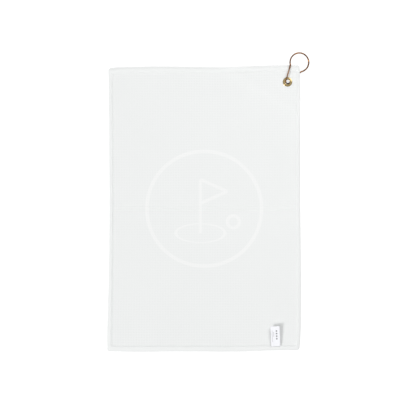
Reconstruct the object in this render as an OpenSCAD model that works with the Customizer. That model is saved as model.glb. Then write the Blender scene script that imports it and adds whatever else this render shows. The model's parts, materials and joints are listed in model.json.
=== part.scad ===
// A flat waffle-weave golf towel with folded hems, a sewn-in label, a two-part
// corner grommet and a pear-shaped spring-wire hanging ring.
// It lies face up on z = 0, with the origin under the middle of the cloth.
// The cloth is one sheet that folds across the middle, so it is built as two halves.

/* [Cloth] */
// Width of the towel, left to right
towel_w = 406; // [340:1:500]
// Length of the towel, bottom to top
towel_l = 610; // [500:1:760]
// Thickness of the waffle cloth
cloth_t = 2.2; // [1.8:0.1:2.6]
// Radius of the towel's corners
corner_r = 5; // [2:0.5:6]

/* [Hems] */
// Height of the folded hem along the top and bottom ends
end_hem = 12; // [9:0.5:16]
// Width of the folded hem along each long side
side_hem = 7; // [5:0.5:9]
// Thickness of a folded hem
hem_t = 3; // [2.6:0.1:3.2]
// Width of a row of sewing thread
thread_w = 0.6; // [0.4:0.1:0.9]

/* [Label] */
// Width of the woven label
label_w = 20; // [14:0.5:30]
// Length of the label that shows above the hem
label_l = 43; // [25:0.5:55]
// Thickness of the label
label_t = 0.5; // [0.4:0.1:0.8]
// Distance of the label's middle from the towel's right edge
label_in = 51.6; // [40:0.1:80]
// Angle at which the free end of the label stands off the cloth
label_lift = 3; // [1:0.5:6]
// Angle at which the label leans to the left
label_lean = 2.5; // [0:0.5:5]

/* [Grommet] */
// Radius of the hole through the grommet
hole_r = 4.75; // [4.7:0.05:5.2]
// Radius of the grommet's flanges
flange_r = 10; // [9.5:0.1:11]
// Thickness of the brass sheet in the barrel
brass_t = 0.55; // [0.4:0.05:0.6]
// Distance of the hole from the towel's right edge
grommet_in = 27; // [24:0.5:32]
// Distance of the hole from the towel's top edge
grommet_down = 36; // [33:0.5:40]

/* [Hanging ring] */
// Radius of the wire
wire_r = 1.2; // [1:0.05:1.25]
// Radius of the round head of the ring, to the middle of the wire
head_r = 19.9; // [17:0.1:24]
// Radius of the narrow end of the ring, to the middle of the wire
neck_r = 4.6; // [4.5:0.05:4.8]
// Distance from the hole to the middle of the round head
head_reach = 48.6; // [47:0.1:56]
// Direction in which the ring lies, measured from the towel's width
ring_turn = 58.7; // [50:0.1:66]
// Clearance between the ring and the hem, and between the ring and the table
ring_gap = 0.5; // [0.4:0.1:1]

/* [Raised corner] */
// Length over which the cloth rises to the corner that the ring lifts
rise_run = 38; // [26:1:60]
// Level cloth left behind the grommet's flange
rise_margin = 4; // [2:0.5:8]

/* [Hidden] */

half_w = towel_w / 2;
half_l = towel_l / 2;
// Gap between the two halves at the fold line, and between sewn layers and the thread on them
fold_gap = 0.3;
// Distance of each row of stitches from the inner edge of its hem
stitch_in = 1.5;
thread_t = 0.3;

hole_x = half_w - grommet_in;
hole_y = half_l - grommet_down;

// The barrel's lips have this radius, and the flange stands this high over the middle of the cloth.
roll_r = 1.4;
crown_z = cloth_t / 2 + 0.9;

// The ring's narrow end crosses the hole this far inside its wall, and no less steeply than
// the hole's width there and the grommet's height allow.
neck_gap = 0.45;
neck_tip = hole_r - wire_r - neck_gap;
neck_at = neck_r - neck_tip;
half_chord = sqrt(hole_r * hole_r - neck_tip * neck_tip) + roll_r * (1 - cos(45));
neck_tilt = asin((wire_r + 0.02) / norm([half_chord, crown_z])) + atan(crown_z / half_chord);

// The head is tilted just enough for the near leg to pass over the top hem, which it
// crosses at this half-width, and the corner is lifted just enough for the head to clear the table.
hem_crossing = 11.6;
head_tilt = atan((hem_t - cloth_t / 2 + thread_t + wire_r + ring_gap) / hem_crossing);
corner_lift = head_r * tan(head_tilt) + wire_r / cos(head_tilt) + ring_gap - cloth_t / 2;
// Height of the middle of the cloth at the grommet
mid_z = corner_lift + cloth_t / 2;
rise_end = flange_r + rise_margin;
rise_start = rise_end + rise_run;

// ---- Cloth, hems and thread --------------------------------------------------------

// Everything of the cloth between two heights above its underside. It is level on the
// table and rises in a smooth step to the corner, square to the ring's direction.
module lifted(low, high) {
    steps = 14;
    rise = [for (i = [0 : steps])
        [-rise_start + (rise_start - rise_end) * i / steps, corner_lift * (1 - cos(180 * i / steps)) / 2]];
    reach = towel_w + towel_l;
    top = concat([[-reach, high]], [for (p = rise) [p[0], p[1] + high]], [[reach, corner_lift + high]]);
    under = concat([[-reach, low]], [for (p = rise) [p[0], p[1] + low]], [[reach, corner_lift + low]]);
    translate([hole_x, hole_y, 0])
        rotate([90, 0, ring_turn])
            translate([0, 0, -reach])
                linear_extrude(2 * reach)
                    polygon(concat(under, [for (i = [len(top) - 1 : -1 : 0]) top[i]]));
}

module upright_block(x, y, tall) {
    translate([x[0], y[0], -1]) cube([x[1] - x[0], y[1] - y[0], tall]);
}

module slab(x, y, low, high) {
    translate([x[0], y[0], low]) cube([x[1] - x[0], y[1] - y[0], high - low]);
}

// A strip across the top end with its two outer corners rounded, standing taller than the cloth.
module end_strip() {
    translate([0, 0, -1]) linear_extrude(corner_lift + 12) difference() {
        translate([-half_w, half_l - end_hem]) square([towel_w, end_hem]);
        for (side = [-1, 1]) translate([side * half_w, half_l]) difference() {
            square(2 * corner_r, center = true);
            translate([-side * corner_r, -corner_r]) circle(corner_r, $fn = 48);
        }
    }
}

upper_y = [fold_gap / 2, half_l - end_hem];
lower_y = [-half_l + end_hem, -fold_gap / 2];
inner_x = [-half_w + side_hem, half_w - side_hem];
left_x = [-half_w, -half_w + side_hem];
right_x = [half_w - side_hem, half_w];

module cloth_upper() {
    color([0.93, 0.94, 0.93]) difference() {
        intersection() {
            lifted(0, cloth_t);
            upright_block(inner_x, upper_y, corner_lift + 12);
        }
        translate([hole_x, hole_y, 0]) cylinder(r = hole_r + brass_t + 0.1, h = 2 * mid_z, $fn = 48);
    }
}

module cloth_lower() {
    color([0.93, 0.94, 0.93]) slab(inner_x, lower_y, 0, cloth_t);
}

module top_hem() {
    color([0.92, 0.93, 0.92]) intersection() {
        lifted(0, hem_t);
        end_strip();
    }
}

module bottom_hem() {
    color([0.92, 0.93, 0.92]) intersection() {
        mirror([0, 1, 0]) end_strip();
        slab([-half_w, half_w], [-half_l, -half_l + end_hem], 0, hem_t);
    }
}

module left_hem_upper() {
    color([0.92, 0.93, 0.92]) intersection() {
        lifted(0, hem_t);
        upright_block(left_x, upper_y, corner_lift + 12);
    }
}

module left_hem_lower() {
    color([0.92, 0.93, 0.92]) slab(left_x, lower_y, 0, hem_t);
}

module right_hem_upper() {
    color([0.92, 0.93, 0.92]) intersection() {
        lifted(0, hem_t);
        upright_block(right_x, upper_y, corner_lift + 12);
    }
}

module right_hem_lower() {
    color([0.92, 0.93, 0.92]) slab(right_x, lower_y, 0, hem_t);
}

// The row of thread is a thin bar that lies on the hem.
end_row = half_l - end_hem + stitch_in;
side_row = half_w - side_hem + stitch_in;
row_x = [-half_w + side_hem, half_w - side_hem];

module top_hem_thread() {
    color("white") intersection() {
        lifted(hem_t, hem_t + thread_t);
        upright_block(row_x, [end_row - thread_w / 2, end_row + thread_w / 2], corner_lift + 12);
    }
}

module bottom_hem_thread() {
    color("white") slab(row_x, [-end_row - thread_w / 2, -end_row + thread_w / 2], hem_t, hem_t + thread_t);
}

module side_thread_upper(x) {
    color("white") intersection() {
        lifted(hem_t, hem_t + thread_t);
        upright_block([x - thread_w / 2, x + thread_w / 2], upper_y, corner_lift + 12);
    }
}

module side_thread_lower(x) {
    color("white") slab([x - thread_w / 2, x + thread_w / 2], lower_y, hem_t, hem_t + thread_t);
}

module left_thread_upper() { side_thread_upper(-side_row); }
module left_thread_lower() { side_thread_lower(-side_row); }
module right_thread_upper() { side_thread_upper(side_row); }
module right_thread_lower() { side_thread_lower(side_row); }

// ---- Label -------------------------------------------------------------------------

// The label comes out of the inner edge of the bottom hem and stands a little off the cloth.
label_x = half_w - label_in;
label_y = -half_l + end_hem + 0.3;
label_z = hem_t + thread_t + label_t + 0.3;

module label() {
    color([0.95, 0.95, 0.97]) translate([label_x, label_y, label_z]) rotate([label_lift, 0, label_lean])
        translate([-label_w / 2, 0, 0]) cube([label_w, label_l, label_t]);
}

module label_thread() {
    color("white") slab([label_x - label_w / 2, label_x + label_w / 2],
        [label_y - 0.3 - thread_w, label_y - 0.3], hem_t, hem_t + thread_t);
}

// ---- Grommet -----------------------------------------------------------------------

// Heights are from the middle of the cloth. Both lips of the barrel roll outwards.
washer_t = 0.5;
lip_reach = roll_r + 0.8;

function arc(center, r, from, to, steps) =
    [for (i = [0 : steps]) let (a = from + (to - from) * i / steps) center + r * [cos(a), sin(a)]];

module grommet_eyelet() {
    run = flange_r - hole_r - roll_r;
    drop = crown_z - cloth_t / 2 - 0.1;
    dome_r = (run * run + drop * drop) / (2 * drop);
    color([0.83, 0.68, 0.4]) translate([hole_x, hole_y, mid_z]) rotate_extrude($fn = 96) polygon(concat(
        arc([hole_r + roll_r, roll_r - crown_z], roll_r, 270, 180, 6),
        arc([hole_r + roll_r, crown_z - roll_r], roll_r, 180, 90, 6),
        arc([hole_r + roll_r, crown_z - dome_r], dome_r, 86, 90 - asin(run / dome_r), 5),
        [[flange_r, cloth_t / 2],
         [hole_r + brass_t, cloth_t / 2],
         [hole_r + brass_t, -cloth_t / 2 - washer_t],
         [hole_r + lip_reach, -cloth_t / 2 - washer_t],
         [hole_r + lip_reach, -crown_z + 0.15]]
    ));
}

module grommet_washer() {
    color([0.80, 0.65, 0.38]) translate([hole_x, hole_y, mid_z]) rotate_extrude($fn = 96) polygon([
        [hole_r + brass_t + 0.05, -cloth_t / 2],
        [flange_r, -cloth_t / 2],
        [flange_r, -cloth_t / 2 - 0.3],
        [flange_r - 0.6, -cloth_t / 2 - washer_t - 0.15],
        [hole_r + lip_reach + 0.4, -cloth_t / 2 - washer_t - 0.15],
        [hole_r + lip_reach + 0.1, -cloth_t / 2 - washer_t],
        [hole_r + brass_t + 0.05, -cloth_t / 2 - washer_t]
    ]);
}

// ---- Hanging ring ------------------------------------------------------------------

// In the ring's own plan, the first coordinate runs along the ring from the hole to the
// head, and the second across it. The outline is symmetric: a small round neck, a straight
// leg on each side, a short outward bend and the round head.
leg_angle = 14.7;
bend_r = 14;

leg_dir = [cos(leg_angle), sin(leg_angle)];
leg_out = [-sin(leg_angle), cos(leg_angle)];
leg_from = [neck_at, 0] + neck_r * leg_out;
// The bend's middle is bend_r outside the leg and head_r + bend_r from the head's middle.
to_head = [head_reach, 0] - leg_from - bend_r * leg_out;
along = to_head * leg_dir;
across = to_head * leg_out;
leg_length = along - sqrt(pow(head_r + bend_r, 2) - across * across);
bend_mid = leg_from + leg_length * leg_dir + bend_r * leg_out;
meet_dir = (bend_mid - [head_reach, 0]) / (head_r + bend_r);
meet_angle = atan2(meet_dir[1], meet_dir[0]);

// One half of the outline, from the tip of the neck to the far point of the head.
half_outline = concat(
    [for (a = [180 : -12 : 108]) [neck_at, 0] + neck_r * [cos(a), sin(a)]],
    [for (i = [0 : 8]) leg_from + leg_length * leg_dir * i / 8],
    [for (i = [1 : 4]) let (a = (leg_angle - 90) * (1 - i / 4) + (meet_angle - 180) * i / 4)
        bend_mid + bend_r * [cos(a), sin(a)]],
    [for (i = [1 : 18]) let (a = meet_angle * (1 - i / 18)) [head_reach, 0] + head_r * [cos(a), sin(a)]]
);

function ease(t) = let (c = min(1, max(0, t))) c * c * (3 - 2 * c);
function tilt_at(s) = neck_tilt + (head_tilt - neck_tilt) * ease((s - 4) / 24);

// Carries a point of the ring's plan to the towel: the near side goes over the cloth and
// the far side under it, and the legs twist so that the neck stands steeply in the hole.
function placed(p) =
    let (u = [cos(ring_turn), sin(ring_turn), 0], v = [-sin(ring_turn), cos(ring_turn), 0])
    [hole_x, hole_y, mid_z] + p[0] * u + p[1] * v + [0, 0, p[1] * tan(tilt_at(p[0]))];

module wire(points) {
    sides = 10;
    last = len(points) - 1;
    ring_points = [for (i = [0 : last])
        let (
            run = points[min(last, i + 1)] - points[max(0, i - 1)],
            t = run / norm(run),
            a = cross([0, 0, 1], t),
            side = a / norm(a),
            up = cross(t, side)
        )
        for (k = [0 : sides - 1]) points[i] + wire_r * (cos(360 * k / sides) * side + sin(360 * k / sides) * up)];
    walls = [for (i = [0 : last - 1], k = [0 : sides - 1])
        let (j = (k + 1) % sides, m = i * sides)
        for (f = [[m + k, m + j, m + sides + j], [m + k, m + sides + j, m + sides + k]]) f];
    ends = [for (k = [1 : sides - 2]) for (f = [[0, k + 1, k], [last * sides, last * sides + k, last * sides + k + 1]]) f];
    polyhedron(ring_points, [for (f = concat(walls, ends)) [f[0], f[2], f[1]]]);
}

// The back leg is cut where the arm's tip meets it. The arm is the far side of the head.
cut_from = 15.2;
cut_to = 16.9;
head_gap = 0.4;

function on_leg(s) = leg_from + leg_dir * (s - leg_from[0]) / leg_dir[0];
function other_side(p) = [p[0], -p[1]];

front_side = [for (p = half_outline) if (p[1] > head_gap || p[0] < head_reach) p];
back_side = [for (p = half_outline) other_side(p)];

module ring_bow() {
    below_cut = [for (i = [len(back_side) - 1 : -1 : 1]) if (back_side[i][0] < cut_from - 0.5) back_side[i]];
    flat_path = concat([other_side(on_leg(cut_from))], below_cut, front_side, [[head_reach + head_r, head_gap]]);
    color([0.66, 0.47, 0.36]) wire([for (p = flat_path) placed(p)]);
}

module ring_arm() {
    above_cut = [for (p = back_side) if (p[0] > cut_to + 0.5) p];
    color([0.66, 0.47, 0.36]) wire([for (p = concat([other_side(on_leg(cut_to))], above_cut)) placed(p)]);
}

// A small clip is crimped round the end of the back leg. Its open half holds the arm's tip
// from the outside, and the tip leaves it when the arm is squeezed inwards.
catch_from = 12.6;
catch_to = 21.2;
catch_wall = 0.6;
tip_clearance = 0.12;

module ring_catch() {
    low = placed(other_side(on_leg(catch_from)));
    high = placed(other_side(on_leg(catch_to)));
    way = high - low;
    total = norm(way);
    crimp = total * (cut_from - catch_from) / (catch_to - catch_from);
    outer_r = wire_r + tip_clearance + catch_wall;
    color([0.62, 0.44, 0.33]) translate(low)
        rotate([0, acos(way[2] / total), atan2(way[1], way[0])])
            difference() {
                cylinder(r = outer_r, h = total, $fn = 48);
                translate([0, 0, -1]) cylinder(r = wire_r + tip_clearance, h = total + 2, $fn = 48);
                rotate(head_tilt) translate([-outer_r - 1, 0.2, crimp]) cube([2 * outer_r + 2, outer_r + 2, total]);
            }
}

cloth_upper();
cloth_lower();
top_hem();
bottom_hem();
left_hem_upper();
left_hem_lower();
right_hem_upper();
right_hem_lower();
top_hem_thread();
bottom_hem_thread();
left_thread_upper();
left_thread_lower();
right_thread_upper();
right_thread_lower();
label();
label_thread();
grommet_eyelet();
grommet_washer();
ring_bow();
ring_catch();
ring_arm();
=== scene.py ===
# %% [markdown]
# # A waffle golf towel with a label, a brass grommet and a wire hanging ring
#
# The towel lies face up on a table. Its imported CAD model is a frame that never
# changes: it says where the hems, the grommet, the label and the ring are, and how
# they move. Here each soft or polished part gets a finer piece of its own, made at
# the places that the frame gives, so nothing has to be fitted by eye.

# %% Load the frame
import json
import math

import bmesh
import bpy
from mathutils import Matrix, Vector, noise

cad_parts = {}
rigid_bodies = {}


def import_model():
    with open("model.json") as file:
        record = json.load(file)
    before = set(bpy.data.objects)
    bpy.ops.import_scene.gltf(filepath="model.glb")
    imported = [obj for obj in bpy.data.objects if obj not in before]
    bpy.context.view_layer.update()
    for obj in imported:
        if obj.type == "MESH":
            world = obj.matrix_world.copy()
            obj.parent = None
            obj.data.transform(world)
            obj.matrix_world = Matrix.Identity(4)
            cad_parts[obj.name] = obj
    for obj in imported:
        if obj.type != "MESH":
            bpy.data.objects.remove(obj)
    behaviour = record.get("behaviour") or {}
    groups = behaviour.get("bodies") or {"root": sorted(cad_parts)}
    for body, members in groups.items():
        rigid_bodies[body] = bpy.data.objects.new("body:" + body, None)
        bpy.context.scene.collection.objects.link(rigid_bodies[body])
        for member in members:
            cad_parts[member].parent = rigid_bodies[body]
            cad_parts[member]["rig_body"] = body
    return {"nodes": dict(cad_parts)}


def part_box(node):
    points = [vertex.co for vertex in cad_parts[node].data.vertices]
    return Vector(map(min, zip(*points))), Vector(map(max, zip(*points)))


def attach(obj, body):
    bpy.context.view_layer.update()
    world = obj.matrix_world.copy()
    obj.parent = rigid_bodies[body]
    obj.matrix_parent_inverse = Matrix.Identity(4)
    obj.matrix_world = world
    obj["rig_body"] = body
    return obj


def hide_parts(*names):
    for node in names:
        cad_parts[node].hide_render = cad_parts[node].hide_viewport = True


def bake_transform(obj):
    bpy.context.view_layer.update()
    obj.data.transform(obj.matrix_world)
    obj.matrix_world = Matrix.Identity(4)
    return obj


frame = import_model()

MM = 0.001
scene = bpy.context.scene
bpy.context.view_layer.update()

# %% [markdown]
# ## Where things are
#
# Every size below is read from a box in the frame. The cloth, its hems and its
# stitches share one plan, so they are named first: half the width and length, the
# hem's two widths, and the middle of the hole through the grommet.

# %% Read the sizes of the cloth and the grommet
end_low, end_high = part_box("top_hem")
side_low, side_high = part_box("left_hem_lower")
HALF_W, HALF_L = end_high.x, end_high.y
END_HEM = HALF_L - end_low.y
SIDE_HEM = side_high.x - side_low.x
HEM_T = side_high.z
CLOTH_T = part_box("cloth_lower")[1].z
eyelet_low, eyelet_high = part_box("grommet_eyelet")
HOLE = (eyelet_low + eyelet_high) / 2
print("towel", 2 * HALF_W, "x", 2 * HALF_L, "hems", END_HEM, SIDE_HEM, "hole", tuple(HOLE))

# %% [markdown]
# ## The raised corner
#
# The ring passes through the grommet, so half of it lies under the cloth and lifts
# that corner. The cloth climbs in one smooth step, square to the way the ring
# points, and is level again round the grommet. One function gives that height, and
# the cloth, the hems and the stitches all use it.

# %% How high the cloth is lifted at a place
RING_TURN = math.radians(58.7)
RISE_FROM, RISE_TO = -52 * MM, -14 * MM
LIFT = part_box("right_hem_upper")[1].z - HEM_T
ring_along = Vector((math.cos(RING_TURN), math.sin(RING_TURN), 0))
ring_across = Vector((-math.sin(RING_TURN), math.cos(RING_TURN), 0))


def corner_rise(x, y):
    """The height that the ring adds to the cloth at a place in the plan."""
    along = (x - HOLE.x) * ring_along.x + (y - HOLE.y) * ring_along.y
    share = min(1.0, max(0.0, (along - RISE_FROM) / (RISE_TO - RISE_FROM)))
    return LIFT * (1 - math.cos(math.pi * share)) / 2


print("corner lifted", round(LIFT / MM, 2), "mm")

# %% [markdown]
# ## Camera, table and light
#
# The towel is looked at from straight above, from far enough away that the raised
# ring isn't enlarged. A long lens does that. The table is a white sweep that the
# camera sees glow a little, so no dark halo shows round the cloth.

# %% Camera
VIEW_WIDTH, CAMERA_HEIGHT = 0.884, 8.0
FILM_WIDTH = 36
lens = bpy.data.cameras.new("overhead_camera")
lens.sensor_width = FILM_WIDTH
lens.lens = FILM_WIDTH * CAMERA_HEIGHT / VIEW_WIDTH
lens.clip_end = 50
camera = bpy.data.objects.new("overhead_camera", lens)
camera.location = (7.2 * MM, 1.4 * MM, CAMERA_HEIGHT)
scene.collection.objects.link(camera)
scene.camera = camera
scene.view_settings.view_transform = "Standard"
print("camera", tuple(camera.location), "lens", round(lens.lens, 1))

# %% [markdown]
# Most of the light comes from a bright ceiling, so rounded edges fall away darker and
# polished metal has dark sides. One soft box stands far off at the lower left, so that
# the label throws its shadow up and to the right. A nearer one at the upper right
# makes that side of the cloth a shade lighter. The camera sees the room plain white.

# %% Soft boxes
def soft_box(name, place, size, watts):
    """A square lamp at a place, turned to the middle of the towel."""
    lamp = bpy.data.lights.new(name, "AREA")
    lamp.shape, lamp.size, lamp.energy = "SQUARE", size, watts
    holder = bpy.data.objects.new(name, lamp)
    holder.location = place
    holder.rotation_euler = Vector(place).to_track_quat("Z", "Y").to_euler()
    holder.visible_camera = False
    scene.collection.objects.link(holder)
    return holder


soft_box("far_box", (-3.55, -3.05, 3.6), 1.9, 186)
soft_box("near_box", (1.3, 1.2, 1.9), 1.5, 29)
print("soft boxes at the lower left and the upper right")

# %% The room
CEILING, HORIZON, FALL_OFF = 0.72, 0.08, 1.5
room = bpy.data.worlds.new("pale_room")
room.use_nodes = True
scene.world = room
room_nodes, room_links = room.node_tree.nodes, room.node_tree.links
room_nodes.clear()
seen, felt = (room_nodes.new("ShaderNodeBackground") for _ in range(2))
seen.inputs["Color"].default_value = (1, 1, 1, 1)
felt.inputs["Color"].default_value = (0.985, 1.0, 1.0, 1)
facing, height = room_nodes.new("ShaderNodeTexCoord"), room_nodes.new("ShaderNodeSeparateXYZ")
room_links.new(facing.outputs["Generated"], height.inputs[0])
upward, ceiling = room_nodes.new("ShaderNodeMath"), room_nodes.new("ShaderNodeMath")
upward.operation, ceiling.operation = "POWER", "MULTIPLY_ADD"
upward.inputs[1].default_value = FALL_OFF
ceiling.inputs[1].default_value, ceiling.inputs[2].default_value = CEILING, HORIZON
room_links.new(height.outputs["Z"], upward.inputs[0])
room_links.new(upward.outputs[0], ceiling.inputs[0])
room_links.new(ceiling.outputs[0], felt.inputs["Strength"])
which, path = room_nodes.new("ShaderNodeMixShader"), room_nodes.new("ShaderNodeLightPath")
out = room_nodes.new("ShaderNodeOutputWorld")
room_links.new(path.outputs["Is Camera Ray"], which.inputs["Fac"])
room_links.new(felt.outputs[0], which.inputs[1])
room_links.new(seen.outputs[0], which.inputs[2])
room_links.new(which.outputs[0], out.inputs[0])
print("room set")

# %% [markdown]
# ## Helpers for materials
#
# A finish here is a small tree of nodes. Patterns that more than one finish needs,
# such as mottling or fine scratches, are node groups with named inputs. A few
# helpers keep the cells short: they start a group, add a sum, or start a material
# with the values that are the same all over its surface.

# %% Start a group, add a sum, start a material
def pattern_group(name, inputs, outputs):
    """A node group with its sockets, and its input and output nodes."""
    tree = bpy.data.node_groups.new(name, "ShaderNodeTree")
    for label, kind, value in inputs:
        socket = tree.interface.new_socket(name=label, in_out="INPUT", socket_type="NodeSocket" + kind)
        if value is not None:
            socket.default_value = value
    for label, kind in outputs:
        tree.interface.new_socket(name=label, in_out="OUTPUT", socket_type="NodeSocket" + kind)
    return tree, tree.nodes.new("NodeGroupInput"), tree.nodes.new("NodeGroupOutput")


def joined(tree, node, values):
    """Gives a node its inputs: a socket is linked, and a number is typed in."""
    for slot, value in enumerate(values):
        if isinstance(value, bpy.types.NodeSocket):
            tree.links.new(value, node.inputs[slot])
        elif value is not None:
            node.inputs[slot].default_value = value
    return node


def sum_of(tree, operation, *values):
    """One Math node, with its answer."""
    node = tree.nodes.new("ShaderNodeMath")
    node.operation = operation
    return joined(tree, node, values).outputs[0]


def vector_sum(tree, operation, *values, answer="Vector"):
    """One Vector Math node, with its answer."""
    node = tree.nodes.new("ShaderNodeVectorMath")
    node.operation = operation
    return joined(tree, node, values).outputs[answer]


def noise_at(tree, place, scale, detail=2.0):
    """Soft random values from 0 to 1."""
    node = tree.nodes.new("ShaderNodeTexNoise")
    node.inputs["Detail"].default_value = detail
    for socket, value in (("Vector", place), ("Scale", scale)):
        if isinstance(value, bpy.types.NodeSocket):
            tree.links.new(value, node.inputs[socket])
        else:
            node.inputs[socket].default_value = value
    return node.outputs["Fac"]


def new_finish(name, **settings):
    """A material with one shader, and the settings that are the same all over."""
    finish = bpy.data.materials.new(name)
    finish.use_nodes = True
    shader = finish.node_tree.nodes["Principled BSDF"]
    for socket, value in settings.items():
        shader.inputs[socket.replace("_", " ")].default_value = value
    return finish, finish.node_tree, shader


print("helpers ready")

# %% Blends and groups inside a material
def blend_colours(tree, share, first, second):
    """From the first colour to the second, as the share goes from 0 to 1."""
    node = tree.nodes.new("ShaderNodeMix")
    node.data_type = "RGBA"
    tree.links.new(share, node.inputs["Factor"])
    for socket, value in (("A", first), ("B", second)):
        target = [s for s in node.inputs if s.name == socket and s.type == "RGBA"][0]
        if isinstance(value, bpy.types.NodeSocket):
            tree.links.new(value, target)
        else:
            target.default_value = (*value, 1)
    return [s for s in node.outputs if s.type == "RGBA"][0]


def use_group(tree, group, **values):
    """One use of a pattern group, with its inputs linked or typed in."""
    node = tree.nodes.new("ShaderNodeGroup")
    node.node_tree = group
    for socket, value in values.items():
        target = node.inputs[socket.replace("_", " ")]
        if isinstance(value, bpy.types.NodeSocket):
            tree.links.new(value, target)
        else:
            target.default_value = value
    return node


def raise_surface(tree, shader, height, depth, strength=1.0):
    """Fine relief too small to model, through the shader's Normal."""
    bump = tree.nodes.new("ShaderNodeBump")
    bump.inputs["Strength"].default_value = strength
    bump.inputs["Distance"].default_value = depth
    tree.links.new(height, bump.inputs["Height"])
    tree.links.new(bump.outputs["Normal"], shader.inputs["Normal"])


def flat_place(tree):
    """Where a point was on the cloth before it was laid, in metres."""
    node = tree.nodes.new("ShaderNodeUVMap")
    node.uv_map = "flat"
    return node.outputs["UV"]


def object_place(tree):
    """A point's place in the frame, for hard pieces."""
    return tree.nodes.new("ShaderNodeTexCoord").outputs["Object"]


print("blend helpers ready")

# %% The table
TABLE_HALF, TABLE_GAP, GLOW = 6, 0.3 * MM, 0.8
floor_mesh = bpy.data.meshes.new("table_top")
table_top = bmesh.new()
bmesh.ops.create_grid(table_top, x_segments=1, y_segments=1, size=TABLE_HALF)
table_top.to_mesh(floor_mesh)
table_top.free()
floor_mesh.transform(Matrix.Translation((0, 0, -TABLE_GAP)))
floor = bpy.data.objects.new("table_top", floor_mesh)
scene.collection.objects.link(floor)
white_table, tree, shader = new_finish(
    "white_table", Base_Color=(0.35, 0.35, 0.35, 1), Roughness=0.9, Emission_Color=(1, 1, 1, 1))
looked_at = tree.nodes.new("ShaderNodeLightPath")
tree.links.new(
    sum_of(tree, "MULTIPLY", looked_at.outputs["Is Camera Ray"], GLOW), shader.inputs["Emission Strength"])
floor_mesh.materials.append(white_table)
print("table laid")

# %% [markdown]
# ## The pattern of the weave
#
# Waffle cloth is woven in small square pockets. Long loose threads make the ridges
# and shorter ones step down into each pocket. The pockets themselves are modelled
# below; this group adds what is finer, the single threads. On a ridge that runs up
# the cloth the threads lie across, and on the other kind they lie along, so the
# group works out which ridge a point is nearer to.

# %% Threads of the waffle weave
THREADS = 9.0
waffle_threads, group_in, group_out = pattern_group(
    "waffle_threads", [("Cells", "Vector", None), ("Fuzz", "Float", 0.35)],
    [("Height", "Float"), ("Pocket", "Float")])
split = waffle_threads.nodes.new("ShaderNodeSeparateXYZ")
waffle_threads.links.new(group_in.outputs["Cells"], split.inputs[0])
near_ridge, thread_wave = [], []
for place in (split.outputs["X"], split.outputs["Y"]):
    part = sum_of(waffle_threads, "FRACT", place)
    part = sum_of(waffle_threads, "SUBTRACT", part, 0.5)
    near_ridge.append(sum_of(waffle_threads, "ABSOLUTE", part))
    wave = sum_of(waffle_threads, "MULTIPLY", place, THREADS * math.pi)
    wave = sum_of(waffle_threads, "SINE", wave)
    thread_wave.append(sum_of(waffle_threads, "ABSOLUTE", wave))
upright = sum_of(waffle_threads, "GREATER_THAN", near_ridge[0], near_ridge[1])
level = sum_of(waffle_threads, "SUBTRACT", 1.0, upright)
threads = sum_of(
    waffle_threads, "ADD",
    sum_of(waffle_threads, "MULTIPLY", upright, thread_wave[1]),
    sum_of(waffle_threads, "MULTIPLY", level, thread_wave[0]))
fuzz = noise_at(waffle_threads, group_in.outputs["Cells"], 14.0, 3.0)
fuzz = sum_of(waffle_threads, "MULTIPLY", fuzz, group_in.outputs["Fuzz"])
waffle_threads.links.new(sum_of(waffle_threads, "ADD", threads, fuzz), group_out.inputs["Height"])
# Pocket is 1 in the middle of a pocket and 0 on a ridge. The cloth finishes use it for the painted shade in the
# pockets and to thin the print there.
ridge = sum_of(waffle_threads, "MAXIMUM", near_ridge[0], near_ridge[1])
waffle_threads.links.new(
    sum_of(waffle_threads, "SUBTRACT", 1.0, sum_of(waffle_threads, "MULTIPLY", ridge, 2.0)),
    group_out.inputs["Pocket"])
print("waffle_threads", len(waffle_threads.nodes), "nodes")

# %% [markdown]
# Bleached cotton isn't one flat white. It takes the dye and the wash a little
# unevenly, in patches a hand wide and in specks a thread wide. One group makes both,
# and every fabric here uses it.

# %% Mottling of bleached cotton
mottled, group_in, group_out = pattern_group(
    "mottled_cotton", [("Place", "Vector", None), ("Patch", "Float", 9.0), ("Speck", "Float", 900.0)],
    [("Tone", "Float")])
patch = noise_at(mottled, group_in.outputs["Place"], group_in.outputs["Patch"])
speck = noise_at(mottled, group_in.outputs["Place"], group_in.outputs["Speck"])
mottled.links.new(
    sum_of(mottled, "ADD", sum_of(mottled, "MULTIPLY", patch, 0.65), sum_of(mottled, "MULTIPLY", speck, 0.35)),
    group_out.inputs["Tone"])
print("mottled_cotton", len(mottled.nodes), "nodes")

# %% [markdown]
# ## The mark in the middle
#
# The towel carries a large round mark printed in white on white. This one is a plain
# ring with a flagstick, its flag, the rim of the hole and a ball. It is drawn from
# simple shapes measured on the flat cloth: a ring is where the distance from a
# middle is close to a radius, and a bar is where both distances are small.

# %% Shapes for the mark
def near_zero(tree, value, width, soft=1.2 * MM):
    """1 where a value is within half a width of zero, with a soft edge."""
    node = tree.nodes.new("ShaderNodeMapRange")
    node.interpolation_type = "SMOOTHSTEP"
    size = sum_of(tree, "ABSOLUTE", value)
    joined(tree, node, (size, width / 2 - soft / 2, width / 2 + soft / 2, 1.0, 0.0))
    return node.outputs[0]


def ring_shape(tree, place, middle, radius, width, squeeze=1.0):
    """A round line; squeeze above 1 makes it a flat oval."""
    away = vector_sum(tree, "SUBTRACT", place, (*middle, 0))
    away = vector_sum(tree, "MULTIPLY", away, (1, squeeze, 0))
    far = vector_sum(tree, "LENGTH", away, answer="Value")
    return near_zero(tree, sum_of(tree, "SUBTRACT", far, radius), width)


def bar_shape(tree, place, middle, turn, length, width):
    """A straight bar through a middle, turned by an angle."""
    away = vector_sum(tree, "SUBTRACT", place, (*middle, 0))
    along = vector_sum(tree, "DOT_PRODUCT", away, (math.cos(turn), math.sin(turn), 0), answer="Value")
    beside = vector_sum(tree, "DOT_PRODUCT", away, (-math.sin(turn), math.cos(turn), 0), answer="Value")
    return sum_of(tree, "MULTIPLY", near_zero(tree, along, length), near_zero(tree, beside, width))


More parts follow.
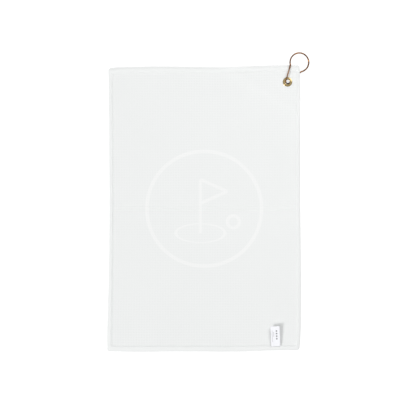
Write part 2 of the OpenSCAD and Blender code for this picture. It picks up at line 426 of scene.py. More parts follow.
def any_of(tree, shapes):
    """Shapes laid over each other."""
    whole = shapes[0]
    for shape in shapes[1:]:
        whole = sum_of(tree, "MAXIMUM", whole, shape)
    return whole


print("shape helpers ready")

# %% The round golf mark
LINE = 6.5 * MM
MARK = Vector((-1 * MM, 0.0))
golf_mark, group_in, group_out = pattern_group(
    "golf_mark", [("Place", "Vector", None)], [("Inked", "Float")])
flat = group_in.outputs["Place"]
pole_top, pole_foot = 62 * MM, -52 * MM
shapes = [
    ring_shape(golf_mark, flat, MARK, 122 * MM, 7.5 * MM),
    bar_shape(golf_mark, flat, (MARK.x - 8 * MM, (pole_top + pole_foot) / 2), math.pi / 2,
              pole_top - pole_foot, LINE),
    bar_shape(golf_mark, flat, (MARK.x + 21 * MM, 49 * MM), math.radians(-24), 62 * MM, LINE),
    bar_shape(golf_mark, flat, (MARK.x + 21 * MM, 24 * MM), math.radians(24), 62 * MM, LINE),
    ring_shape(golf_mark, flat, (MARK.x - 8 * MM, -52 * MM), 52 * MM, LINE, 2.6),
    ring_shape(golf_mark, flat, (MARK.x + 62 * MM, -28 * MM), 13 * MM, LINE),
]
golf_mark.links.new(any_of(golf_mark, shapes), group_out.inputs["Inked"])
print("golf_mark", len(shapes), "shapes")

# %% [markdown]
# ## Finishes of the cloth and the thread
#
# The towel's finish reads the flat map, because the cloth folds and a pattern tied
# to the room would slide through it. The pockets are painted a shade darker than
# the ridges, as painted shade on top of their modelled depth, and the mark is a shade
# lighter. The hem is the same cloth turned over and pressed, so it has the same
# threads with less relief and almost no painted shade. The back has no mark.

# %% Waffle cloth
CELL = 5.5 * MM
INNER_W, INNER_L = HALF_W - SIDE_HEM, HALF_L - END_HEM
CELLS_X, CELLS_Y = round(2 * INNER_W / CELL), round(2 * INNER_L / CELL)
PITCH_X, PITCH_Y = 2 * INNER_W / CELLS_X, 2 * INNER_L / CELLS_Y


def cotton_finish(name, pocket_painted_shade, relief, printed=True):
    """White cotton: mottled, with threads, painted shade in the pockets, and the mark where it is printed."""
    finish, tree, shader = new_finish(
        name, Roughness=0.92, Sheen_Weight=0.25, Sheen_Roughness=0.5, Specular_IOR_Level=0.25)
    place = flat_place(tree)
    cells = vector_sum(tree, "ADD", place, (INNER_W, INNER_L, 0))
    cells = vector_sum(tree, "MULTIPLY", cells, (1 / PITCH_X, 1 / PITCH_Y, 1))
    weave = use_group(tree, waffle_threads, Cells=cells)
    tone = use_group(tree, mottled, Place=place)
    cotton = blend_colours(tree, tone.outputs[0], (0.808, 0.816, 0.810), (0.838, 0.845, 0.840))
    # Painted shade: the pockets are blended towards a darker white, standing in for the shade that falls inside
    # them.
    depth = sum_of(tree, "MULTIPLY", weave.outputs["Pocket"], pocket_painted_shade)
    cotton = blend_colours(tree, depth, cotton, (0.68, 0.69, 0.685))
    if printed:
        mark = use_group(tree, golf_mark, Place=place)
        on_ridges = sum_of(tree, "SUBTRACT", 0.7, sum_of(tree, "MULTIPLY", weave.outputs["Pocket"], 0.4))
        ink = sum_of(tree, "MULTIPLY", mark.outputs["Inked"], on_ridges)
        cotton = blend_colours(tree, ink, cotton, (0.876, 0.875, 0.870))
    tree.links.new(cotton, shader.inputs["Base Color"])
    raise_surface(tree, shader, weave.outputs["Height"], relief, 0.7)
    return finish


# The second number is how strongly painted shade darkens the pockets; the third is the thread relief.
waffle_cloth = cotton_finish("waffle_cloth", 0.26, 0.10 * MM)
pressed_hem = cotton_finish("pressed_hem", 0.04, 0.07 * MM, printed=False)
waffle_back = cotton_finish("waffle_back", 0.26, 0.10 * MM, printed=False)
print("cells", CELLS_X, "x", CELLS_Y, "of", round(PITCH_X / MM, 2), "x", round(PITCH_Y / MM, 2), "mm")

# %% [markdown]
# Sewing thread is two strands twisted round each other, so light catches it in
# slanting bands. A wave across the slant paints these bands into the colour, as a
# painted highlight on each strand and painted shade between them, and raises them
# as bump too. The mottling keeps one stitch from looking exactly like the next.

# %% Sewing thread
sewing_thread, tree, shader = new_finish(
    "sewing_thread", Roughness=0.7, Sheen_Weight=0.3, Specular_IOR_Level=0.3)
place = object_place(tree)
slant = vector_sum(tree, "DOT_PRODUCT", place, (5200.0, 6900.0, 2600.0), answer="Value")
twist_relief_and_highlight = sum_of(tree, "SINE", slant)
twist_relief_and_highlight = sum_of(tree, "MULTIPLY", sum_of(tree, "ADD", twist_relief_and_highlight, 1.0), 0.5)
tone = use_group(tree, mottled, Place=place, Patch=60.0)
twist_highlight_and_tone = sum_of(tree, "MULTIPLY", sum_of(tree, "ADD", twist_relief_and_highlight, tone.outputs[0]), 0.5)
# Painted highlight and painted shade: the lighter white is where light catches a strand, the darker white the
# shade between the strands; the mottling adds random tone.
tree.links.new(blend_colours(tree, twist_highlight_and_tone, (0.80, 0.81, 0.81), (0.93, 0.94, 0.94)), shader.inputs["Base Color"])
raise_surface(tree, shader, twist_relief_and_highlight, 0.06 * MM, 0.6)
print("thread finish ready")

# %% [markdown]
# ## The cloth
#
# The towel could be a flat box with a bumpy finish, but then its edge and its folds
# would be flat as well. It could be a cloth simulation, but cloth that lies still on
# a table has nothing to simulate. So it is one grid, with two lines to each waffle
# cell, a few more round the edges and hems, and a few at the fold. The lines are
# placed first, then the heights.

# %% Grid lines of the cloth
EDGE_R = HEM_T / 2
SEAM_IN = 1.5 * MM


def lines_across(half, hem, cells):
    """Places of the grid lines from one edge of the cloth to the other."""
    edge = [0, 0.25 * MM, 0.8 * MM, EDGE_R]
    seam = [hem + off * MM for off in (-2.1, -1.5, -0.9, -0.3, 0.3)]
    gaps = max(1, round((seam[0] - EDGE_R) / (1.8 * MM)))
    over = [EDGE_R + (seam[0] - EDGE_R) * k / gaps for k in range(1, gaps)]
    side = [-half + d for d in edge + over + seam]
    inner = half - hem
    middle = [-inner + inner * k / cells for k in range(1, 2 * cells)]
    return side + middle + [-d for d in reversed(side)]


def closer_lines(lines, reach):
    """Adds a line between each pair that is within reach of the fold."""
    halfway = [(a + b) / 2 for a, b in zip(lines, lines[1:]) if abs(a + b) / 2 < reach]
    return sorted(lines + halfway)


lines_x = lines_across(HALF_W, SIDE_HEM, CELLS_X)
lines_y = closer_lines(lines_across(HALF_L, END_HEM, CELLS_Y), 9 * MM)
print("grid", len(lines_x), "x", len(lines_y), "lines")

# %% [markdown]
# A washed towel doesn't lie in a true rectangle. Its edges wander by a few
# millimetres, the top edge runs slightly uphill, and the corners at the left pull
# out into small ears. Each edge gets a few pairs of numbers, a place along it and
# how far it lies from straight, and a smooth line runs through them.

# %% How the edges wander
LEFT = [
    (-305, -3.4), (-285, -4.0), (-240, -3.4), (-200, -2.0), (-120, -0.3),
    (0, 0.9), (130, 0.2), (285, -0.8), (305, -2.0)]
RIGHT = [(-305, -1.8), (-283, -0.2), (-240, 1.8), (-110, 1.8), (-20, 0.4), (240, -0.1), (280, -0.7), (305, -1.2)]
BOTTOM = [(-203, 1.6), (-140, 0.7), (-60, 1.4), (80, 1.4), (135, 3.2), (203, 4.2)]
TOP = [(-203, -7.0), (-180, -4.8), (-95, -3.1), (35, -4.5), (110, -2.6), (160, -0.9), (203, -0.8)]


def smooth_line(knots, place):
    """How far an edge lies from straight at a place along it, in metres."""
    place /= MM
    k = next((i for i in range(len(knots) - 1) if place <= knots[i + 1][0]), len(knots) - 2)
    before, start, end, after = (knots[max(0, k - 1)], knots[k], knots[k + 1], knots[min(len(knots) - 1, k + 2)])
    width = end[0] - start[0]
    t = min(1.0, max(0.0, (place - start[0]) / width))
    leave = (end[1] - before[1]) / (end[0] - before[0]) * width
    arrive = (after[1] - start[1]) / (after[0] - start[0]) * width
    away = (start[1] * (2 * t**3 - 3 * t**2 + 1) + leave * (t**3 - 2 * t**2 + t)
            + end[1] * (3 * t**2 - 2 * t**3) + arrive * (t**3 - t**2))
    return away * MM


def ease(t):
    """From 0 to 1 with a soft start and end."""
    t = min(1.0, max(0.0, t))
    return t * t * (3 - 2 * t)


def carried(inwards, hem, keep):
    """How much of an edge's wander reaches a line that far inside it."""
    if inwards < hem:
        return 1 - (1 - keep) * inwards / hem
    return keep * (1 - ease((inwards - hem) / (150 * MM)))


CORNER_R = 5 * MM


def laid(x, y):
    """Where a point of the flat cloth lies on the table, in the plan."""
    corner_x, corner_y = HALF_W - CORNER_R, HALF_L - CORNER_R
    over_x, over_y = max(0.0, abs(x) - corner_x), max(0.0, abs(y) - corner_y)
    px, py = x, y
    if over_x > 0 and over_y > 0:
        reach = max(over_x, over_y) / CORNER_R
        pull = (1 - reach) + reach * reach * CORNER_R / math.hypot(over_x, over_y)
        px = math.copysign(corner_x + over_x * pull, x)
        py = math.copysign(corner_y + over_y * pull, y)
    px += smooth_line(LEFT, y) * carried(HALF_W + x, SIDE_HEM, 0.5)
    px += smooth_line(RIGHT, y) * carried(HALF_W - x, SIDE_HEM, 0.5)
    py += smooth_line(BOTTOM, x) * carried(HALF_L + y, END_HEM, 0.3)
    py += smooth_line(TOP, x) * carried(HALF_L - y, END_HEM, 0.85)
    spot = Vector((x * 14, y * 14, 0))
    px += 0.35 * MM * noise.noise(spot)
    py += 0.35 * MM * noise.noise(spot + Vector((31, 17, 5)))
    return px, py


print("top right corner lies at", [round(c / MM, 1) for c in laid(HALF_W, HALF_L)])

# %% [markdown]
# The height of the cloth's face is a ridge or a pocket in the middle and a folded hem
# at the edge. The hem falls away softly to its round turned edge, and its stitches
# pull it down in a small ditch. The back follows the face at the cloth's own
# thickness, so a pocket on one side is a bump on the other, as in the real weave.

# %% Heights of the face and the back
RELIEF = 0.8 * MM
BODY = 1.3 * MM
DITCH = 0.13 * MM
STEP = 1.7 * MM
FALL = 1.3 * MM


def waffle_height(x, y):
    """1 where two ridges cross and 0 in the middle of a pocket."""
    beside_x = abs(((x + INNER_W) / PITCH_X) % 1 - 0.5) * 2
    beside_y = abs(((y + INNER_L) / PITCH_Y) % 1 - 0.5) * 2
    return 0.85 * max(beside_x, beside_y) + 0.15 * beside_x * beside_y


def ditch_depth(inwards, hem, other, other_hem):
    """How far the stitches pull the hem down at a place."""
    if other < other_hem:
        return 0.0
    return DITCH * math.exp(-(((inwards - (hem - SEAM_IN)) / (0.55 * MM)) ** 2))


def face_and_back(x, y):
    """Heights of both sides of the cloth over the table, without the raised corner."""
    in_x, in_y = HALF_W - abs(x), HALF_L - abs(y)
    hem_share = max(1 - ease((in_x - SIDE_HEM) / STEP + 0.5), 1 - ease((in_y - END_HEM) / STEP + 0.5))
    ridge = waffle_height(x, y)
    cloth_face = CLOTH_T - RELIEF * (1 - ridge)
    hem_face = HEM_T - 0.12 * MM * (1 - ridge)
    hem_face -= FALL * max(1 - ease(in_x / (0.65 * SIDE_HEM)), 1 - ease(in_y / (0.5 * END_HEM)))
    hem_face -= ditch_depth(in_x, SIDE_HEM, in_y, END_HEM) + ditch_depth(in_y, END_HEM, in_x, SIDE_HEM)
    face = cloth_face * (1 - hem_share) + hem_face * hem_share
    back = (cloth_face - BODY) * (1 - hem_share)
    out = min(in_x, in_y)
    if out < EDGE_R:
        bend = max(0.12, math.sqrt(1 - (1 - out / EDGE_R) ** 2))
        face = EDGE_R + (face - EDGE_R) * bend
        back = EDGE_R + (back - EDGE_R) * bend
    swell = 0.12 * MM * noise.noise(Vector((x * 30, y * 30, 3)))
    return face + swell, max(0.0, back + swell)


print("ridge, pocket:", [round(face_and_back(PITCH_X * a, PITCH_Y * a)[0] / MM, 2) for a in (0.5, 1.0)])

# %% Lay out the face
cloth = bmesh.new()
bmesh.ops.create_grid(cloth, x_segments=len(lines_x) - 1, y_segments=len(lines_y) - 1, size=0.5)
assert len(cloth.verts) == len(lines_x) * len(lines_y)
flat_spot = cloth.verts.layers.float_vector.new("flat_spot")
for v in cloth.verts:
    column = round((v.co.x + 0.5) * (len(lines_x) - 1))
    row = round((v.co.y + 0.5) * (len(lines_y) - 1))
    v[flat_spot] = (lines_x[column], lines_y[row], 0)
print("face", len(cloth.faces), "faces")

# %% Add the back, and lay both on the table
face_verts = cloth.verts[:]
copy = bmesh.ops.duplicate(cloth, geom=cloth.verts[:] + cloth.edges[:] + cloth.faces[:])["geom"]
back_verts = [g for g in copy if isinstance(g, bmesh.types.BMVert)]
bmesh.ops.reverse_faces(cloth, faces=[g for g in copy if isinstance(g, bmesh.types.BMFace)])
for side, verts in enumerate((face_verts, back_verts)):
    for v in verts:
        x, y = v[flat_spot][0], v[flat_spot][1]
        px, py = laid(x, y)
        v.co = (px, py, face_and_back(x, y)[side] + corner_rise(px, py))
print("both sides", len(cloth.verts), "points")

# %% [markdown]
# The grommet needs a hole. Faces inside a circle are taken out of both sides, the
# ragged rim that is left is pulled into a true circle, and the rims and the outer
# edges of the two sides are bridged, which closes the cloth into one solid.

# %% Cut the hole and close the cloth
CUT_R, RAGGED = 5.7 * MM, 1.2 * MM


def from_hole(v):
    """How far a point is from the middle of the hole, in the plan."""
    return math.hypot(v.co.x - HOLE.x, v.co.y - HOLE.y)


bmesh.ops.delete(
    cloth, geom=[f for f in cloth.faces if math.hypot(*(f.calc_center_median() - HOLE).xy) < CUT_R + RAGGED],
    context="FACES")
open_edges = [e for e in cloth.edges if e.is_boundary]
rim_edges = [e for e in open_edges if from_hole(e.verts[0]) < 4 * CUT_R]
for v in {v for e in rim_edges for v in e.verts}:
    pull = CUT_R / from_hole(v)
    v.co.x, v.co.y = HOLE.x + (v.co.x - HOLE.x) * pull, HOLE.y + (v.co.y - HOLE.y) * pull
bmesh.ops.bridge_loops(cloth, edges=rim_edges)
outer_edges = [e for e in open_edges if e not in set(rim_edges)]
bmesh.ops.bridge_loops(cloth, edges=outer_edges)
still_open = sum(e.is_boundary for e in cloth.edges)
print("rim", len(rim_edges), "edges, outer", len(outer_edges), "edges, open now", still_open)

# %% Flat map, hem finish and the finished towel
flat_map = cloth.loops.layers.uv.new("flat")
for f in cloth.faces:
    f.smooth = True
    middle = Vector((0, 0, 0))
    for loop in f.loops:
        spot = Vector(loop.vert[flat_spot])
        loop[flat_map].uv = spot.xy
        middle += spot / len(f.loops)
    f.material_index = 1 if abs(middle.x) > INNER_W or abs(middle.y) > INNER_L else 0
bmesh.ops.recalc_face_normals(cloth, faces=cloth.faces[:])
for f in cloth.faces:
    if f.material_index == 0 and f.normal.z < 0:
        f.material_index = 2
cloth_mesh = bpy.data.meshes.new("towel_cloth")
cloth.to_mesh(cloth_mesh)
cloth.free()
for finish in (waffle_cloth, pressed_hem, waffle_back):
    cloth_mesh.materials.append(finish)
towel = bpy.data.objects.new("towel_cloth", cloth_mesh)
scene.collection.objects.link(towel)
print("towel", len(cloth_mesh.polygons), "faces")

# %% [markdown]
# The cloth is one piece across the fold, so it can't ride on one half. Here it is
# left where it lies and rides on neither half. It stands for the eight plain slabs
# of the frame.


def bends_at_fold(piece):
    """Leaves the piece where it lies, with its placement moved into its mesh; it doesn't bend at the fold."""
    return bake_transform(piece)


bends_at_fold(towel)
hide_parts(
    "cloth_upper", "cloth_lower", "top_hem", "bottom_hem",
    "left_hem_upper", "left_hem_lower", "right_hem_upper", "right_hem_lower")

# %% [markdown]
# ## Rows of stitches
#
# Each hem is held by a row of lockstitch. A row could be a line in the finish, but a
# stitch is a small raised bead that dips into the cloth at both ends. So each stitch
# is a tiny ball, stretched along the row and laid in the ditch. There are hundreds
# of them, so each has only a few faces.

# %% Sew a row along the flat cloth
STITCH, PITCH, LAID_ON = 3.1 * MM, 3.9 * MM, 0.10 * MM


def on_cloth(x, y, lift):
    """A point a little above the cloth's face, after it is laid."""
    px, py = laid(x, y)
    return Vector((px, py, face_and_back(x, y)[0] + corner_rise(px, py) + lift))


def sew_row(name, start, end, place=on_cloth):
    """A row of stitches from one point of the flat cloth to another, as one object."""
    row = bmesh.new()
    start, end = Vector(start), Vector(end)
    count = int((end - start).length / PITCH)
    for k in range(count):
        middle = start.lerp(end, (k + 0.5) / count)
        reach = (end - start).normalized() * STITCH / 2
        low, high = place(*(middle - reach), LAID_ON), place(*(middle + reach), LAID_ON)
        bead = bmesh.ops.create_uvsphere(row, u_segments=6, v_segments=5, radius=1)
        turn = (high - low).to_track_quat("Z", "Y").to_matrix().to_4x4()
        stretch = Matrix.Diagonal((0.32 * MM, 0.24 * MM, (high - low).length / 2, 1))
        bmesh.ops.transform(
            row, matrix=Matrix.Translation((low + high) / 2) @ turn @ stretch, verts=bead["verts"])
    for f in row.faces:
        f.smooth = True
    mesh = bpy.data.meshes.new(name)
    row.to_mesh(mesh)
    row.free()
    mesh.materials.append(sewing_thread)
    piece = bpy.data.objects.new(name, mesh)
    scene.collection.objects.link(piece)
    print(name, count, "stitches")
    return piece


# %% The four rows
SEAM_X, SEAM_Y = INNER_W + SEAM_IN, INNER_L + SEAM_IN
top_stitches = sew_row("top_stitches", (-INNER_W, SEAM_Y), (INNER_W, SEAM_Y))
bottom_stitches = sew_row("bottom_stitches", (-INNER_W, -SEAM_Y), (INNER_W, -SEAM_Y))
left_stitches = sew_row("left_stitches", (-SEAM_X, -INNER_L), (-SEAM_X, INNER_L))
right_stitches = sew_row("right_stitches", (SEAM_X, -INNER_L), (SEAM_X, INNER_L))
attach(top_stitches, "upper_half")
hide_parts("top_hem_thread")
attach(bottom_stitches, "lower_half")
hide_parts("bottom_hem_thread")
bends_at_fold(left_stitches)
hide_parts("left_thread_upper", "left_thread_lower")
bends_at_fold(right_stitches)
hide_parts("right_thread_upper", "right_thread_lower")

# %% [markdown]
# ## The label
#
# The label is a satin ribbon folded in half, with its two ends sewn into the hem.
# The fold is the free end. It springs a little off the cloth, more towards its end,
# and bows between. So one long strip is run out from the seam, round a tight turn
# and back over itself, and then it is given its thickness. Its two layers are pinched
# together where they are sewn.

# %% Satin
satin, tree, shader = new_finish(
    "satin_ribbon", Roughness=0.38, Anisotropic=0.5, Sheen_Weight=0.15, Specular_IOR_Level=0.5)
place = flat_place(tree)
split = tree.nodes.new("ShaderNodeSeparateXYZ")
tree.links.new(place, split.inputs[0])
weft = sum_of(tree, "SINE", sum_of(tree, "MULTIPLY", split.outputs["Y"], 2 * math.pi / (0.35 * MM)))
weft = sum_of(tree, "MULTIPLY", sum_of(tree, "ADD", weft, 1.0), 0.5)
tone = use_group(tree, mottled, Place=place, Patch=70.0, Speck=2600.0)
white = blend_colours(tree, tone.outputs[0], (0.861, 0.859, 0.896), (0.911, 0.909, 0.938))
print("satin started")

# %% [markdown]
# The print is a column of four small squares with two thin lines beside it. It says
# nothing, and stands for the care and size notes that such a label has. It is drawn
# on the flat ribbon, on the half that ends up on top.

# %% Print on the label
LABEL_W, LABEL_L, TURN_RUN = 20 * MM, 43 * MM, 1.6 * MM
RIBBON = 2 * LABEL_L + TURN_RUN
print_marks = [
    bar_shape(tree, place, (2.6 * MM, RIBBON - up * MM), 0.0, 3.0 * MM, 2.9 * MM)
    for up in (16.4, 21.9, 27.4, 32.9)]
fine_lines = [
    bar_shape(tree, place, (-3.7 * MM, RIBBON - 26 * MM), math.pi / 2, 11 * MM, 1.5 * MM),
    bar_shape(tree, place, (-6.6 * MM, RIBBON - 22 * MM), math.pi / 2, 25 * MM, 1.2 * MM)]
inked = blend_colours(tree, any_of(tree, fine_lines), white, (0.60, 0.60, 0.63))
inked = blend_colours(tree, any_of(tree, print_marks), inked, (0.20, 0.20, 0.21))
tree.links.new(inked, shader.inputs["Base Color"])
raise_surface(tree, shader, weft, 0.03 * MM, 0.5)
print("label print", len(print_marks), "squares and", len(fine_lines), "lines")

# %% Shape of the folded ribbon
HINGE = Vector((151.4, -292.7, 4.1)) * MM
LEAN, STAND = math.radians(2.5), math.radians(3)
TURN_R = 0.32 * MM
PINCHED = 6 * MM
RIBBON_T = 0.18 * MM


def ribbon_point(across, run):
    """Where a point of the flat ribbon goes: across its width and along its run."""
    turn = (run - LABEL_L) / TURN_RUN
    if turn <= 0:
        out, layer = run, 0.0
    elif turn < 1:
        out, layer = LABEL_L + TURN_R * math.sin(math.pi * turn), 1 - math.cos(math.pi * turn)
    else:
        out, layer = RIBBON - run, 2.0
    share = out / LABEL_L
    apart = layer * TURN_R * (0.35 + 0.65 * ease(out / PINCHED))
    pillow = 0.35 * MM * math.sin(math.pi * min(1.0, share)) * layer / 2
    rise = out * math.sin(STAND) + 2.4 * MM * share**2 + 0.25 * MM * math.sin(math.pi * share)
    curl = 0.5 * MM * share * (across / LABEL_W) ** 2 + 1.4 * MM * ease(share * 3) * max(0.0, across / LABEL_W)
    point = Vector((across, out, 0.2 * MM + apart + pillow + rise + curl))
    return HINGE + Matrix.Rotation(LEAN, 3, "Z") @ point


print("free end stands", round((ribbon_point(0, LABEL_L).z - CLOTH_T) / MM, 1), "mm off the cloth")

# %% Make the label
ACROSS, ALONG = 10, 72
strip = bmesh.new()
bmesh.ops.create_grid(strip, x_segments=ACROSS, y_segments=ALONG, size=0.5)
ribbon_map = strip.loops.layers.uv.new("flat")
for f in strip.faces:
    f.smooth = True
    for loop in f.loops:
        loop[ribbon_map].uv = (loop.vert.co.x * LABEL_W, (loop.vert.co.y + 0.5) * RIBBON)
for v in strip.verts:
    v.co = ribbon_point(v.co.x * LABEL_W, (v.co.y + 0.5) * RIBBON)
bmesh.ops.solidify(strip, geom=strip.faces[:], thickness=RIBBON_T)
bmesh.ops.recalc_face_normals(strip, faces=strip.faces[:])
label_mesh = bpy.data.meshes.new("satin_label")
strip.to_mesh(label_mesh)
strip.free()
label_mesh.materials.append(satin)
label = bpy.data.objects.new("satin_label", label_mesh)
scene.collection.objects.link(label)
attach(label, "label_flap")
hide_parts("label")
print("label", len(label_mesh.polygons), "faces")

# %% Sew the label in
seam_low, seam_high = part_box("label_thread")
label_seam_y = (seam_low.y + seam_high.y) / 2


def on_hem(x, y, lift):
    """A point on the hem under the label, at the height the frame gives."""
    return Vector((x, y, seam_low.z + lift))


label_stitches = sew_row("label_stitches", (seam_low.x, label_seam_y), (seam_high.x, label_seam_y), on_hem)
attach(label_stitches, "lower_half")
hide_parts("label_thread")

# %% [markdown]
# ## The metals
#
# The grommet is polished yellow brass and the ring is a redder plated wire. Polished
# metal gets nearly all its look from what it reflects, so the finish only adds what
# handling does: fine scratches in the gloss, and a brownish bloom where a cloth
# doesn't reach. One group makes both from a place in the frame.

# %% Handling marks on metal
handled, group_in, group_out = pattern_group(
    "handled_metal", [("Place", "Vector", None), ("Size", "Float", 900.0)],
    [("Bloom", "Float"), ("Scratch", "Float")])
bloom = noise_at(handled, group_in.outputs["Place"], group_in.outputs["Size"], 3.0)
bloom = sum_of(handled, "POWER", bloom, 1.6)
drawn_out = vector_sum(handled, "MULTIPLY", group_in.outputs["Place"], (9000.0, 1400.0, 4200.0))
handled.links.new(bloom, group_out.inputs["Bloom"])
handled.links.new(noise_at(handled, drawn_out, 1.0, 2.0), group_out.inputs["Scratch"])
print("handled_metal ready")

# %% Brass and ring wire
def metal_finish(name, bright, dull, gloss, size):
    """Polished metal with a dull bloom and fine scratches."""
    finish, tree, shader = new_finish(name, Metallic=1.0)
    wear = use_group(tree, handled, Place=object_place(tree), Size=size)
    tree.links.new(blend_colours(tree, wear.outputs["Bloom"], bright, dull), shader.inputs["Base Color"])
    rough = sum_of(tree, "MULTIPLY", wear.outputs["Scratch"], 0.16)
    tree.links.new(sum_of(tree, "ADD", rough, gloss), shader.inputs["Roughness"])
    raise_surface(tree, shader, wear.outputs["Scratch"], 0.02 * MM, 0.25)
    return finish


brass = metal_finish("yellow_brass", (0.60, 0.46, 0.23), (0.22, 0.155, 0.065), 0.05, 500.0)
ring_wire = metal_finish("ring_wire", (0.40, 0.175, 0.058), (0.15, 0.07, 0.026), 0.12, 300.0)
print("metals ready")

# %% [markdown]
# ## The grommet
#
# A grommet is two pressed parts: an eyelet with a barrel and a domed flange goes
# through from the front, and a washer goes on behind, where the barrel is rolled
# over it. Both are round, so each is drawn as half a section and spun.

# %% Spin a section into a round part
def arc_points(middle, radii, start, end, steps):
    """Points along part of an ellipse, in the section's own plane."""
    turns = [math.radians(start + (end - start) * k / steps) for k in range(steps + 1)]
    return [(middle[0] + radii[0] * math.cos(a), middle[1] + radii[1] * math.sin(a)) for a in turns]


def spin_part(name, section, finish, node):
    """A closed section of (radius, height) in millimetres, spun round the hole."""
    part = bmesh.new()
    corners = [part.verts.new((r * MM, 0, z * MM)) for r, z in section]
    edges = [part.edges.new(pair) for pair in zip(corners, corners[1:] + corners[:1])]
    bmesh.ops.spin(
        part, geom=corners + edges, cent=(0, 0, 0), axis=(0, 0, 1), angle=2 * math.pi, steps=96, use_merge=True)
    bmesh.ops.remove_doubles(part, verts=part.verts[:], dist=0.002 * MM)
    bmesh.ops.translate(part, vec=HOLE, verts=part.verts[:])
    bmesh.ops.recalc_face_normals(part, faces=part.faces[:])
    for f in part.faces:
        f.smooth = True
    mesh = bpy.data.meshes.new(name)
    part.to_mesh(mesh)
    part.free()
    mesh.set_sharp_from_angle(angle=math.radians(50))
    mesh.materials.append(finish)
    piece = bpy.data.objects.new(name, mesh)
    scene.collection.objects.link(piece)
    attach(piece, frame["nodes"][node].get("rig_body"))
    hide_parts(node)
    print(name, len(mesh.polygons), "faces")


# %% Eyelet and washer
HOLE_R, FLANGE_R, ROLL_R, CROWN, SHEET_HALF, DOME_AT = 4.75, 10.0, 1.4, 2.0, 1.1, 6.9
spin_part(
    "brass_eyelet",
    arc_points((HOLE_R + ROLL_R, ROLL_R - CROWN), (ROLL_R, ROLL_R), 270, 180, 10)
    + arc_points((HOLE_R + ROLL_R, CROWN - ROLL_R), (ROLL_R, ROLL_R), 180, 90, 10)
    + arc_points((DOME_AT, SHEET_HALF + 0.05), (FLANGE_R - DOME_AT, CROWN - SHEET_HALF - 0.05), 90, 0, 16)
    + [(FLANGE_R, SHEET_HALF), (5.3, SHEET_HALF), (5.3, -1.6), (6.95, -1.6), (6.95, -1.85)],
    brass, "grommet_eyelet")
spin_part(
    "brass_washer",
    [(5.35, -SHEET_HALF), (FLANGE_R, -SHEET_HALF), (FLANGE_R, -1.4)]
    + arc_points((9.6, -1.4), (0.4, 0.35), 0, -80, 4)
    + [(7.35, -1.75), (7.05, -1.6), (5.35, -1.6)],
    brass, "grommet_washer")

# %% [markdown]
# ## The hanging ring
#
# The ring is one springy wire bent into a pear: a narrow neck through the grommet,
# two legs, a small outward bend on each, and a round head. One leg runs over the
# cloth and one under it. In the plan it is arcs and straight lines, and the height
# comes from how far a point is to the side, times a tilt that is steep at the neck
# and gentle at the head.

# %% The ring's outline, seen square on
NECK_AT, NECK_R, HEAD_AT, HEAD_R, BEND_R, WIRE_R = (d * MM for d in (1.5, 4.6, 48.6, 19.9, 14, 1.2))
LEG = math.radians(14.7)
leg_way, leg_out = Vector((math.cos(LEG), math.sin(LEG))), Vector((-math.sin(LEG), math.cos(LEG)))
leg_start = Vector((NECK_AT, 0)) + NECK_R * leg_out
to_head = Vector((HEAD_AT, 0)) - leg_start - BEND_R * leg_out
leg_length = to_head.dot(leg_way) - math.sqrt((HEAD_R + BEND_R) ** 2 - to_head.dot(leg_out) ** 2)
bend_middle = leg_start + leg_length * leg_way + BEND_R * leg_out
meet = math.degrees(math.atan2(bend_middle.y, bend_middle.x - HEAD_AT))
near_half = (
    arc_points((NECK_AT, 0), (NECK_R, NECK_R), 180, 90 + math.degrees(LEG), 12)
    + [tuple(leg_start + leg_way * leg_length * k / 16) for k in range(1, 16)]
    + arc_points(bend_middle, (BEND_R, BEND_R), math.degrees(LEG) - 90, meet - 180, 8)
    + arc_points((HEAD_AT, 0), (HEAD_R, HEAD_R), meet, 0, 40)[1:])
print("half outline", len(near_half), "points, legs", round(leg_length / MM, 1), "mm")

# %% Carry the outline to the towel
NECK_TILT, HEAD_TILT = math.radians(42.3153), math.radians(18.583)


def ring_point(plan):
    """A point of the outline at its place in the frame."""
    s, w = plan
    tilt = NECK_TILT + (HEAD_TILT - NECK_TILT) * ease((s / MM - 4) / 24)
    return HOLE + s * ring_along + w * ring_across + Vector((0, 0, w * math.tan(tilt)))


def on_far_leg(s):
    """The point of the leg under the cloth that far along the ring."""
    point = leg_start + leg_way * (s * MM - leg_start.x) / leg_way.x
    return (point.x, -point.y)


far_half = [(s, -w) for s, w in near_half]
CUT_NEAR, CUT_FAR = 15.2, 16.9
bow_path = ([on_far_leg(CUT_NEAR)] + [p for p in reversed(far_half[1:]) if p[0] < (CUT_NEAR - 0.5) * MM]
            + near_half)
arm_path = [on_far_leg(CUT_FAR)] + [p for p in far_half if p[0] > (CUT_FAR + 0.5) * MM]
print("bow", len(bow_path), "points, arm", len(arm_path), "points")

# %% [markdown]
# The wire is a small circle pushed along that path. At each step the last rim is
# extruded and moved to the next point, turned only as much as the path turns, so the
# wire never twists. Its cut end is rounded off by two smaller rims, and at its other
# end it goes on the way the next piece does, so the two meet flat. The wire is finer
# at the neck and the legs, where it has to pass the grommet and the clip, and fuller
# round the head.

# %% Draw a wire along a path
SIDES = 14
FULLER, FULL_FROM, FULL_OVER = 0.24, 21 * MM, 8 * MM


def fullness(s):
    """How thick the wire is that far along the ring, as a share of its radius."""
    return 1 + FULLER * ease((s - FULL_FROM) / FULL_OVER)


def standing(point, side, way, size):
    """Carries a flat rim to a point of the path, square to the way the path goes."""
    turn = Matrix((side, way.cross(side), way)).transposed().to_4x4()
    return Matrix.Translation(point) @ turn @ Matrix.Scale(size, 4)


def path_stops(plan_path, beyond):
    """Points of the path, the way it goes at each, and the size of the rim there."""
    points = [ring_point(p) for p in [*plan_path, beyond]]
    ways = [(points[i + 1] - points[max(i - 1, 0)]).normalized() for i in range(len(plan_path))]
    rounded = [(points[0] - ways[0] * WIRE_R * a, ways[0], b) for a, b in ((0.42, 0.55), (0.25, 0.88))]
    return rounded + [(p, w, fullness(plan[0])) for p, w, plan in zip(points, ways, plan_path)]


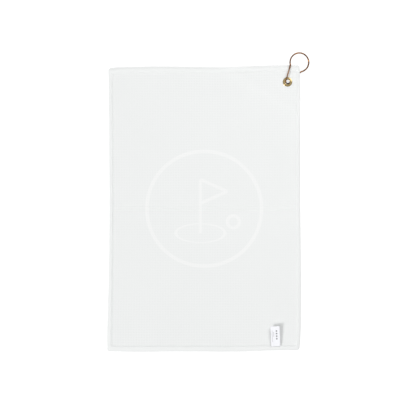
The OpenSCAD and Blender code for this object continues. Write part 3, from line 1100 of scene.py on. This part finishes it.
def draw_wire(name, stops, node):
    """Extrudes one circle from stop to stop."""
    wire = bmesh.new()
    side = stops[0][1].orthogonal().normalized()
    stand = standing(stops[0][0], side, stops[0][1], stops[0][2])
    made = bmesh.ops.create_circle(wire, segments=SIDES, radius=WIRE_R, cap_ends=True)["verts"]
    bmesh.ops.transform(wire, matrix=stand, verts=made)
    rim = wire.edges[:]
    for point, way, size in stops[1:]:
        side = (side - way * side.dot(way)).normalized()
        new = bmesh.ops.extrude_edge_only(wire, edges=rim)["geom"]
        moved = {g for g in new if isinstance(g, bmesh.types.BMVert)}
        rim = [g for g in new if isinstance(g, bmesh.types.BMEdge) and moved.issuperset(g.verts)]
        before, stand = stand, standing(point, side, way, size)
        bmesh.ops.transform(wire, matrix=stand @ before.inverted(), verts=list(moved))
    bmesh.ops.contextual_create(wire, geom=rim)
    bmesh.ops.recalc_face_normals(wire, faces=wire.faces[:])
    for f in wire.faces:
        f.smooth = True
    mesh = bpy.data.meshes.new(name)
    wire.to_mesh(mesh)
    wire.free()
    mesh.set_sharp_from_angle(angle=math.radians(50))
    mesh.materials.append(ring_wire)
    piece = bpy.data.objects.new(name, mesh)
    scene.collection.objects.link(piece)
    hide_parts(node)
    print(name, len(mesh.polygons), "faces")
    return piece


# %% [markdown]
# The ring opens at a small clip on the leg under the cloth. The far side of the head
# is the spring: its tip can be squeezed out of the clip, and it bends where it meets
# the near side at the ring's end. So the wire is two pieces that meet there: the bow
# rides on the ring, and the spring piece is left where it lies.

# %% The two lengths of wire and the clip
bow = draw_wire("ring_bow_wire", path_stops(bow_path, far_half[-2]), "ring_bow")
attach(bow, "ring")
spring = draw_wire("ring_spring_wire", path_stops(arm_path, near_half[-2]), "ring_arm")
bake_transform(spring)
clip_mesh = frame["nodes"]["ring_catch"].data
clip_mesh.materials.clear()
clip_mesh.materials.append(ring_wire)

# %% [markdown]
# ## Finish
#
# The towel and the label are sheets, cut flat to a known size.

# %% Done
print("scene built")
